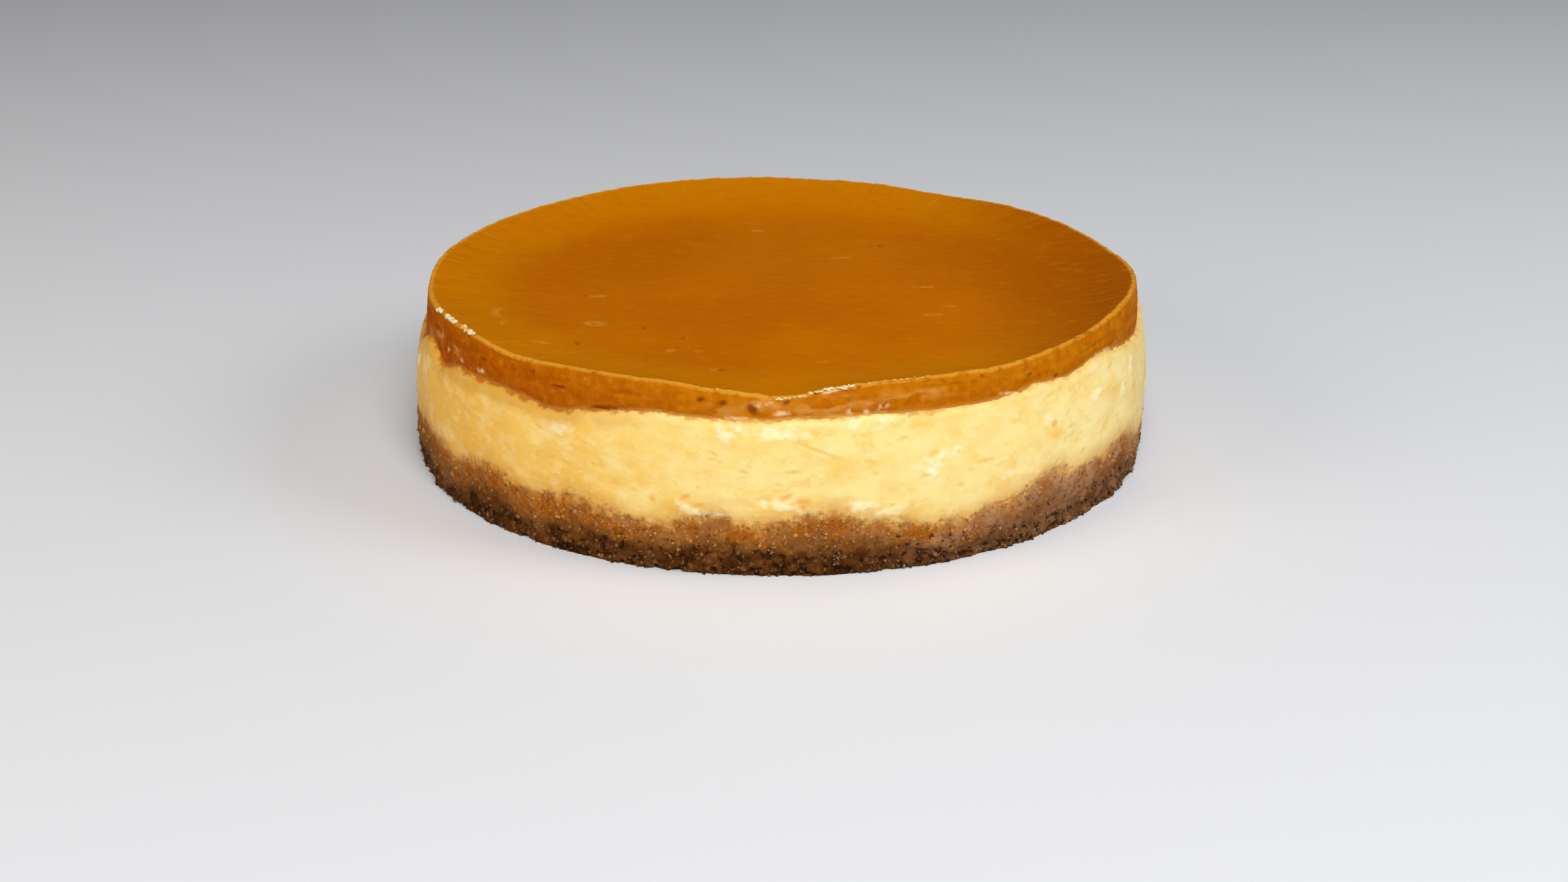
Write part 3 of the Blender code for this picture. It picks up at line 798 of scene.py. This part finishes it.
PALE_SPOTS = [
    (-81, -44, 1.2, 4), (-56, -12, 3.5, 1.8), (-55, -39, 4.5, 3), (-31, -64, 1.8, 2.2),
    (-23, -65, 1.8, 1.8), (45, -2, 5, 1.4), (51, -22, 3.2, 1.2), (46, -30, 4, 1.6), (-68, -62, 3, 2),
    (20, 30, 4, 1.4), (-18, -83.5, 1.6, 1.6), (12, -75, 2, 1), (-8, 62, 3, 1.5),
]
RING_SPOT = (-84, -34, 2.8, 6.5)
RING_HOLE = (-83, -33, 1.3, 3.2)
DARK_SPOTS = [
    (-40, -43, 0.8, 1.4), (-58, -60, 0.8, 1.8), (-28, -53, 0.7, 1.2), (-16, -83, 0.9, 1.5),
    (33, 44, 0.8, 1.2),
]


def pumpkin_material():
    """Amber baked pumpkin: a smooth skin in the dish, and a duller wall with pits and rubbed-on cheese."""
    material, tree, shader = new_material(
        "baked_pumpkin_filling", Specular_IOR_Level=0.004, Coat_Roughness=0.25, Subsurface_Weight=0.06,
        Subsurface_Scale=1.5 * MM, Subsurface_Radius=(1.0, 0.4, 0.05),
    )
    place = object_place(tree)
    drift = noise_at(tree, place, 16, 4)
    streaks = noise_at(tree, place, 150, 4, (1, 1, 2.6))
    wrinkle_sheen_and_shade = noise_at(tree, place, 330, 5, (0.5, 1, 1))
    fine = noise_at(tree, place, 420, 3)
    specks = noise_at(tree, place, 1100, 2)
    inwards = mark_at(tree, "inwards")
    skin = mix_colour(tree, ramp(tree, drift, 0.36, 0.62), (0.485, 0.122, 0.0), (0.53, 0.145, 0.0))
    skin = tint(tree, skin, ramp(tree, inwards, 34.0, 12.0), 0.75, (0.565, 0.182, 0.0))
    # Painted shade: the skin grows darker towards the right side of the dish.
    skin = tint(tree, skin, side_of(tree, place, 45, 100), 0.9, (0.35, 0.08, 0.0))
    # Painted highlight and shade: level streaks, lighter and darker, as fine wrinkles in the skin would catch
    # light.
    skin = tint(tree, skin, ramp(tree, wrinkle_sheen_and_shade, 0.50, 0.72), 0.22, (0.62, 0.21, 0.001))
    skin = tint(tree, skin, ramp(tree, wrinkle_sheen_and_shade, 0.48, 0.28), 0.22, (0.40, 0.095, 0.0))
    wobble = times(tree, math_node(tree, "SUBTRACT", fine, 0.5), 1.6)
    ring, hole = (spots_at(tree, place, wobble, [one]) for one in (RING_SPOT, RING_HOLE))
    ring = math_node(tree, "SUBTRACT", ring, hole)
    pale = math_node(tree, "MAXIMUM", ring, spots_at(tree, place, wobble, PALE_SPOTS))
    pale = times(tree, times(tree, pale, ramp(tree, fine, 0.36, 0.60)), 0.5)
    skin = mix_colour(tree, pale, skin, (0.70, 0.30, 0.035))
    dark = times(tree, spots_at(tree, place, wobble, DARK_SPOTS), 0.5)
    skin = mix_colour(tree, dark, skin, (0.20, 0.06, 0.003))
    left = mix_colour(tree, ramp(tree, streaks, 0.36, 0.64), (0.34, 0.062, 0.0), (0.42, 0.092, 0.001))
    right = mix_colour(tree, ramp(tree, streaks, 0.36, 0.64), (0.40, 0.105, 0.001), (0.48, 0.152, 0.002))
    wall = mix_colour(tree, side_of(tree, place, -95, -5), left, right)
    upper = wobbled(tree, mark_at(tree, "depth"), streaks, 9.0)
    wall = tint(tree, wall, ramp(tree, upper, 4.0, 0.5), 0.35, (0.55, 0.165, 0.002))
    wall = tint(tree, wall, ramp(tree, upper, 4.5, 8.0), 0.3, (0.35, 0.082, 0.003))
    wall = tint(tree, wall, ramp(tree, fine, 0.52, 0.68), 0.3, (0.60, 0.22, 0.006))
    wall = tint(tree, wall, ramp(tree, fine, 0.46, 0.32), 0.35, (0.28, 0.055, 0.001))
    peach = times(tree, mark_at(tree, "peach"), ramp(tree, streaks, 0.40, 0.60))
    wall = tint(tree, wall, peach, 0.6, (0.60, 0.27, 0.06))
    thin = math_node(tree, "ADD", times(tree, near_front(tree, place), 0.35), 0.45)
    low = times(tree, ramp(tree, math_node(tree, "ADD", mark_at(tree, "rise"), wobble), 1.2, -0.2), thin)
    wall = mix_colour(tree, low, wall, (0.66, 0.36, 0.08))
    on_wall_share = ramp(tree, inwards, 0.1, -0.4)
    colour = mix_colour(tree, on_wall_share, skin, wall)
    # Partly painted highlight: the rim's crest is a lighter yellow line, partly a dried edge and partly
    # painted highlight.
    crest = times(tree, ramp(tree, mark_at(tree, "depth"), 1.3, 0.3), ramp(tree, inwards, 1.9, 0.9))
    colour = mix_colour(tree, times(tree, crest, ramp(tree, fine, 0.25, 0.5)), colour, (0.68, 0.29, 0.025))
    cream = times(tree, mark_at(tree, "cream"), ramp(tree, fine, 0.38, 0.56))
    colour = tint(tree, colour, cream, 0.7, (0.84, 0.60, 0.32))
    # Painted shade: the dents are darkened to red-brown.
    pit = times(tree, times(tree, mark_at(tree, "pit"), ramp(tree, fine, 0.30, 0.50)), 0.8)
    colour = mix_colour(tree, pit, colour, (0.17, 0.026, 0.001))
    feed(tree, colour, shader, "Base Color")
    rough = math_node(tree, "ADD", times(tree, on_wall_share, 0.18), 0.40)
    feed(tree, rough, shader, "Roughness")
    moist = times(tree, ramp(tree, specks, 0.62, 0.68), ramp(tree, streaks, 0.50, 0.62))
    moist = times(tree, moist, ramp(tree, math_node(tree, "MAXIMUM", peach, cream), 0.4, 0.0))
    feed(tree, times(tree, times(tree, moist, on_wall_share), 0.6), shader, "Coat Weight")
    grainy = times(tree, math_node(tree, "ADD", streaks, times(tree, fine, 1.6)), on_wall_share)
    bump_feed(tree, math_node(tree, "ADD", specks, grainy), shader, 0.2 * MM, 0.6)
    return material


pumpkin.data.materials.append(pumpkin_material())
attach(pumpkin, "root")
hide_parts("pumpkin_layer")


# Biscuit crumbs
# Loose crumbs of the same biscuit. Most are bedded in the crust's wall, some lie along its foot, and buttery
# ones show through the cheese at the seam. One crumb is shaped and repeated by an array, and each copy gets
# its own place and form.

WALL_CRUMBS = 900
FOOT_CRUMBS = 240
SEAM_CRUMBS = 300


def lump_row(name, count):
    """One small lump, repeated by an array. Every copy still stands at the origin."""
    bpy.ops.mesh.primitive_uv_sphere_add(segments=7, ring_count=5, radius=1)
    piece = bpy.context.object
    piece.name = piece.data.name = name
    bpy.ops.object.mode_set(mode="EDIT")
    bpy.ops.mesh.select_all(action="SELECT")
    bpy.ops.transform.resize(value=(1.0, 0.85, 0.8))
    bpy.ops.object.mode_set(mode="OBJECT")
    bpy.ops.object.shade_smooth()
    row = piece.modifiers.new("row", "ARRAY")
    row.count = count
    row.use_relative_offset = False
    bpy.ops.object.modifier_apply(modifier=row.name)
    return piece


def strew(piece, lumps, craggy, **marks):
    """Gives every copy in a row its place, half sizes, turn and crags. Each mark has one value for a lump."""
    count = len(piece.data.vertices) // len(lumps)
    start = [vertex.co.copy() for vertex in piece.data.vertices[:count]]
    coordinates = []
    for number, (place, sizes, turn) in enumerate(lumps):
        shift = Vector((number * 3.7, 0, 0))
        turned = Euler(turn).to_matrix()
        for corner in start:
            crag = 1 + craggy * noise.noise(corner * 1.6 + shift)
            lump = Vector(corner[axis] * sizes[axis] * crag for axis in range(3))
            lump = place + turned @ lump
            coordinates.extend((lump.x, lump.y, max(lump.z, 0.0)))
    piece.data.vertices.foreach_set("co", coordinates)
    for mark, values in marks.items():
        layer = piece.data.attributes.new(mark, "FLOAT", "POINT")
        layer.data.foreach_set("value", np.repeat(values, count).astype(np.float32))
    piece.data.update()


def column_at(angle):
    return round(angle / (2 * math.pi) * COLUMNS) % COLUMNS


def crust_radius(angle, height):
    """Radius of the crust's wall at a place on it."""
    column = column_at(angle)
    row = round(height / crust_crest[column] * (CRUST_WALL_ROWS - 1))
    return crust_radii[2 + min(max(row, 0), len(crust_radii) - 4), column]


def cheese_radius(angle, height):
    """Radius of the cheese's wall at a place on it."""
    column = column_at(angle)
    share = (height - cheese_foot[column]) / (cheese_crest[column] - cheese_foot[column])
    row = round(share * (CHEESE_WALL_ROWS - 1))
    return cheese_radii[2 + min(max(row, 0), CHEESE_WALL_ROWS - 1), column]


def crumb_places():
    """Places, sizes and turns of all the crumbs, how buttery each one is, and how light."""
    draw = random.Random(11)
    lumps, buttery = [], []
    for kind, count in (("wall", WALL_CRUMBS), ("foot", FOOT_CRUMBS), ("seam", SEAM_CRUMBS)):
        for _ in range(count):
            angle = draw.uniform(0, 2 * math.pi)
            crest = crust_crest[column_at(angle)]
            size = draw.uniform(0.35, 0.8) * MM
            if kind == "wall":
                height = 0.8 * MM + draw.random() ** 1.7 * (crest - 3 * MM)
                radius = crust_radius(angle, height) - 0.1 * size
            elif kind == "foot":
                size = draw.uniform(0.25, 0.6) * MM
                height = size * 0.5
                radius = crust_radius(angle, height) + draw.triangular(-0.4, 0.5, -0.1) * MM
            else:
                size = draw.uniform(0.25, 0.5) * MM
                height = crest + draw.triangular(-3.4, 1.8, -1.0) * MM
                radius = max(crust_radius(angle, height), cheese_radius(angle, height)) - 0.55 * size
            sizes = [size * draw.uniform(0.75, 1.2) for _ in range(3)]
            turn = [draw.uniform(0, 2 * math.pi) for _ in range(3)]
            lumps.append((round_place(angle, radius, height), sizes, turn))
            buttery.append(min(max(1 - (crest - height) / (12 * MM), 0), 1))
    return lumps, buttery, [draw.random() for _ in lumps]


crumb_lumps, crumb_buttery, crumb_tones = crumb_places()
loose_crumbs = lump_row("biscuit_crumbs", len(crumb_lumps))
strew(loose_crumbs, crumb_lumps, 0.9, buttery=crumb_buttery, tone=crumb_tones)


def crumb_material():
    """Toasted biscuit: dark to golden from crumb to crumb, and orange-brown near the cheese."""
    material, tree, shader = new_material(
        "loose_biscuit_crumb", Roughness=0.6, Specular_IOR_Level=0.05, Coat_Roughness=0.08
    )
    place = object_place(tree)
    grain = noise_at(tree, place, 1600, 3)
    crumb_share = ramp(tree, mark_at(tree, "tone"), 0.2, 1.0)
    toasted = mix_colour(tree, crumb_share, (0.07, 0.024, 0.005), (0.24, 0.105, 0.028))
    soaked = mix_colour(tree, crumb_share, (0.38, 0.130, 0.016), (0.53, 0.255, 0.070))
    colour = tint(tree, toasted, ramp(tree, grain, 0.5, 0.35), 0.3, (0.07, 0.02, 0.004))
    colour = mix_colour(tree, ramp(tree, mark_at(tree, "buttery"), 0.05, 0.65), colour, soaked)
    feed(tree, colour, shader, "Base Color")
    feed(tree, ramp(tree, noise_at(tree, place, 900, 1), 0.54, 0.60), shader, "Coat Weight")
    bump_feed(tree, grain, shader, 0.25 * MM, 0.7)
    return material


loose_crumbs.data.materials.append(crumb_material())
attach(loose_crumbs, "root")


# Cheese crumbs
# Scraps of cheese that the knife left on the rim: crumbs in a line at the left of the front, and thin bits
# where the rim dips. One scrap is shaped and repeated, as the biscuit crumbs are, and each copy follows the
# rim's own height.

# Each run is its first and last angle in degrees, its number of scraps, half their length, half their
# thickness and how far they stand over the rim, in mm.
CHEESE_RUNS = (
    (-67.5, -65.5, 9, 0.85, 0.65, 0.1),
    (-62.8, -59.2, 14, 1, 0.75, 0.1),
    (-57, -53.2, 13, 0.9, 0.7, 0.1),
    (-0.6, 3.6, 11, 0.8, 0.35, -0.6),
    (4.4, 10.6, 18, 1, 0.4, -0.1),
    (-12, -7, 4, 0.4, 0.2, -0.25),
    (12, 22, 9, 0.4, 0.2, -0.1),
)


def scrap_places():
    draw = random.Random(23)
    lumps = []
    for first, last, count, length, thick, over in CHEESE_RUNS:
        for number in range(count):
            angle = math.radians(first + (last - first) * (number + draw.uniform(0.1, 0.9)) / count)
            size = draw.uniform(0.6, 1.1)
            radius = rim_radius + LEAN * math.sin(angle) + draw.uniform(-0.5, 0.35) * MM
            height = rim_crest[column_at(angle)] + (over + draw.uniform(-0.2, 0.3)) * MM
            sizes = [length * size * MM, thick * size * MM, thick * size * MM]
            turn = [draw.uniform(-0.5, 0.5), draw.uniform(-0.4, 0.4), angle + draw.uniform(-0.5, 0.5)]
            lumps.append((round_place(angle, radius, height), sizes, turn))
    return lumps


scrap_lumps = scrap_places()
cheese_scraps = lump_row("cheese_crumbs", len(scrap_lumps))
strew(cheese_scraps, scrap_lumps, 0.8)


def scrap_material():
    """Crumbled baked cheese, whiter than the wall, and golden where pumpkin has stained it."""
    material, tree, shader = new_material(
        "cheese_crumb", Roughness=0.5, Specular_IOR_Level=0.2, Subsurface_Weight=0.15,
        Subsurface_Scale=1.0 * MM, Subsurface_Radius=(1.0, 0.55, 0.2),
    )
    place = object_place(tree)
    stain = noise_at(tree, place, 420, 3)
    colour = mix_colour(tree, ramp(tree, stain, 0.52, 0.38), (0.86, 0.68, 0.40), (0.78, 0.42, 0.12))
    feed(tree, colour, shader, "Base Color")
    bump_feed(tree, noise_at(tree, place, 1500, 2), shader, 0.2 * MM, 0.6)
    return material


cheese_scraps.data.materials.append(scrap_material())
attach(cheese_scraps, "root")


# Studio
# A plain pale floor and three soft round lights: the strongest high in front, a cool one at the right and a
# weak warm one at the left. The camera stands where the photo's did.

CAMERA_PLACE = Vector((0.0012, -0.6462, 0.2465))
CAMERA_PITCH = 21.20
LENS = 49.49
SENSOR = 36.0

bpy.ops.mesh.primitive_plane_add(size=8, location=(0, 0, 0))
floor = bpy.context.object
floor.name = "floor"
floor_material, _, floor_shader = new_material("pale_floor", Roughness=0.8)
floor_shader.inputs["Base Color"].default_value = (0.78, 0.79, 0.82, 1)
floor.data.materials.append(floor_material)


def softbox(name, place, aim, size, watts, colour=(1, 1, 1)):
    bpy.ops.object.light_add(type="AREA", location=place)
    lamp = bpy.context.object
    lamp.name = name
    lamp.data.shape = "DISK"
    lamp.data.size = size
    lamp.data.energy = watts
    lamp.data.color = colour
    lamp.rotation_euler = (Vector(aim) - Vector(place)).to_track_quat("-Z", "Y").to_euler()


softbox("key", (0.18, -1.22, 1.24), (0, 0, 0.02), 1.0, 23)
softbox("window", (1.27, -0.34, 0.95), (0, 0, 0.03), 0.8, 8, (0.95, 0.97, 1))
softbox("fill", (-1.18, -0.68, 0.65), (0, 0, 0.02), 0.9, 6, (1, 0.9, 0.75))

world = bpy.data.worlds.new("studio")
bpy.context.scene.world = world
world.use_nodes = True
world.node_tree.nodes["Background"].inputs["Color"].default_value = (0.95, 0.97, 1, 1)
world.node_tree.nodes["Background"].inputs["Strength"].default_value = 0.12

bpy.ops.object.camera_add(location=CAMERA_PLACE, rotation=(math.radians(90 - CAMERA_PITCH), 0, 0))
camera = bpy.context.object
camera.data.lens = LENS
camera.data.sensor_width = SENSOR
bpy.context.scene.camera = camera
bpy.context.scene.view_settings.view_transform = "Standard"
